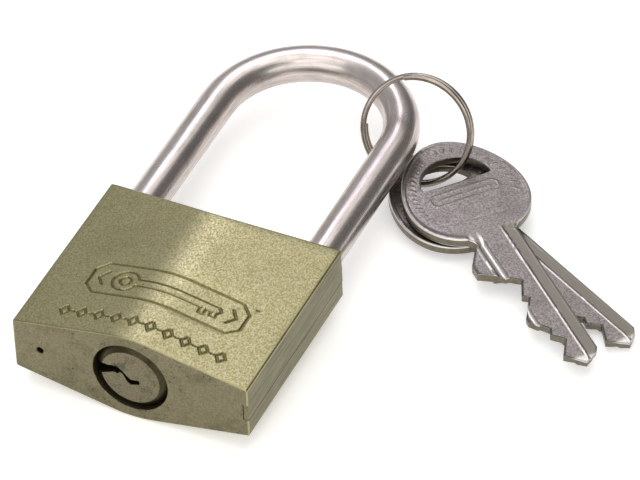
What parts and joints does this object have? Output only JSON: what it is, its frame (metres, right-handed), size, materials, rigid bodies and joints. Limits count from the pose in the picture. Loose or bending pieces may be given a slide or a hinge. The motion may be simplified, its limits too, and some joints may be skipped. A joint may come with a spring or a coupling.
{
  "type": "padlock",
  "caption": "Closed solid-bodied padlock with a crested body, round shackle, pin-tumbler plug and latches, and flat keys on a split ring that hangs on the shackle.",
  "frame": {"origin": "centre of the body's top face, midway between the shackle's legs, halfway through the thickness", "axes": "+X across the width towards the shackle's toe leg, +Y up out of the top face along the shackle's legs, +Z out of the front face"},
  "size_m": [0.0847, 0.0815, 0.0178],
  "materials": {
    "satin_brass": "satin, finely sanded",
    "plug_brass": "dull turned brass",
    "satin_steel": "satin plated steel",
    "spring_steel": "bright drawn wire",
    "satin_nickel": "matte nickel plate over brass"
  },
  "bodies": {
    "body": {"lock_body": "satin_brass", "pin_chamber_cover": "satin_brass", "heel_retaining_pin": "satin_steel", "plug_retaining_pin": "satin_steel", "shackle_spring": "spring_steel", "latch_spring": "spring_steel", "pin_spring_1": "spring_steel", "pin_spring_2": "spring_steel", "pin_spring_3": "spring_steel", "pin_spring_4": "spring_steel", "pin_spring_5": "spring_steel"},
    "shackle": {"shackle": "satin_steel"},
    "plug": {"plug": "plug_brass", "plug_cam": "satin_steel"},
    "heel_latch": {"heel_latch": "satin_steel"},
    "toe_latch": {"toe_latch": "satin_steel"},
    "key_pin_1": {"key_pin_1": "plug_brass"},
    "key_pin_2": {"key_pin_2": "plug_brass"},
    "key_pin_3": {"key_pin_3": "plug_brass"},
    "key_pin_4": {"key_pin_4": "plug_brass"},
    "key_pin_5": {"key_pin_5": "plug_brass"},
    "driver_pin_1": {"driver_pin_1": "satin_steel"},
    "driver_pin_2": {"driver_pin_2": "satin_steel"},
    "driver_pin_3": {"driver_pin_3": "satin_steel"},
    "driver_pin_4": {"driver_pin_4": "satin_steel"},
    "driver_pin_5": {"driver_pin_5": "satin_steel"},
    "ring": {"key_ring": "spring_steel"},
    "key_front": {"key_front": "satin_nickel"},
    "key_back": {"key_back": "satin_nickel"}
  },
  "joints": [
    {"name": "shackle_lift", "type": "slide", "parent": "body", "child": "shackle", "axis": [0, 1, 0], "range_m": [0, 0.013], "deforming": ["shackle_spring"]},
    {"name": "plug_turn", "type": "hinge", "parent": "body", "child": "plug", "pos_m": [0, -0.017, 0], "axis": [0, -1, 0], "range_deg": [0, 90]},
    {"name": "heel_latch_slide", "type": "slide", "parent": "body", "child": "heel_latch", "axis": [1, 0, 0], "range_m": [-0.0022, 0], "stiffness_N_per_m": 300, "springref_m": -0.0022, "deforming": ["latch_spring"]},
    {"name": "toe_latch_slide", "type": "slide", "parent": "body", "child": "toe_latch", "axis": [-1, 0, 0], "range_m": [-0.0022, 0], "stiffness_N_per_m": 300, "springref_m": -0.0022, "deforming": ["latch_spring"]},
    {"name": "driver_pin_1_slide", "type": "slide", "parent": "body", "child": "driver_pin_1", "axis": [1, 0, 0], "range_m": [-0.0014, 0], "stiffness_N_per_m": 50, "springref_m": -0.0014, "deforming": ["pin_spring_1"]},
    {"name": "key_pin_1_slide", "type": "slide", "parent": "plug", "child": "key_pin_1", "axis": [1, 0, 0], "range_m": [-0.0014, 0]},
    {"name": "driver_pin_2_slide", "type": "slide", "parent": "body", "child": "driver_pin_2", "axis": [1, 0, 0], "range_m": [-0.002, 0], "stiffness_N_per_m": 50, "springref_m": -0.002, "deforming": ["pin_spring_2"]},
    {"name": "key_pin_2_slide", "type": "slide", "parent": "plug", "child": "key_pin_2", "axis": [1, 0, 0], "range_m": [-0.002, 0]},
    {"name": "driver_pin_3_slide", "type": "slide", "parent": "body", "child": "driver_pin_3", "axis": [1, 0, 0], "range_m": [-0.001, 0], "stiffness_N_per_m": 50, "springref_m": -0.001, "deforming": ["pin_spring_3"]},
    {"name": "key_pin_3_slide", "type": "slide", "parent": "plug", "child": "key_pin_3", "axis": [1, 0, 0], "range_m": [-0.001, 0]},
    {"name": "driver_pin_4_slide", "type": "slide", "parent": "body", "child": "driver_pin_4", "axis": [1, 0, 0], "range_m": [-0.0022, 0], "stiffness_N_per_m": 50, "springref_m": -0.0022, "deforming": ["pin_spring_4"]},
    {"name": "key_pin_4_slide", "type": "slide", "parent": "plug", "child": "key_pin_4", "axis": [1, 0, 0], "range_m": [-0.0022, 0]},
    {"name": "driver_pin_5_slide", "type": "slide", "parent": "body", "child": "driver_pin_5", "axis": [1, 0, 0], "range_m": [-0.0016, 0], "stiffness_N_per_m": 50, "springref_m": -0.0016, "deforming": ["pin_spring_5"]},
    {"name": "key_pin_5_slide", "type": "slide", "parent": "plug", "child": "key_pin_5", "axis": [1, 0, 0], "range_m": [-0.0016, 0]},
    {"name": "ring_swing", "type": "hinge", "parent": "shackle", "child": "ring", "pos_m": [0.01478, 0.03366, 0], "axis": [-0.3007, 0.9537, 0], "range_deg": [-140, 25]},
    {"name": "key_front_fan", "type": "hinge", "parent": "ring", "child": "key_front", "pos_m": [0.02496, 0.03322, -0.00349], "axis": [0.0286, -0.02, 0.9994], "range_deg": [-7, 40]},
    {"name": "key_back_fan", "type": "hinge", "parent": "ring", "child": "key_back", "pos_m": [0.02327, 0.03214, -0.00534], "axis": [0.0286, -0.02, 0.9994], "range_deg": [-14, 28]}
  ],
  "couplings": [
    {"joint": "key_pin_1_slide", "follows": "driver_pin_1_slide", "ratio": 1},
    {"joint": "key_pin_2_slide", "follows": "driver_pin_2_slide", "ratio": 1},
    {"joint": "key_pin_3_slide", "follows": "driver_pin_3_slide", "ratio": 1},
    {"joint": "key_pin_4_slide", "follows": "driver_pin_4_slide", "ratio": 1},
    {"joint": "key_pin_5_slide", "follows": "driver_pin_5_slide", "ratio": 1}
  ]
}
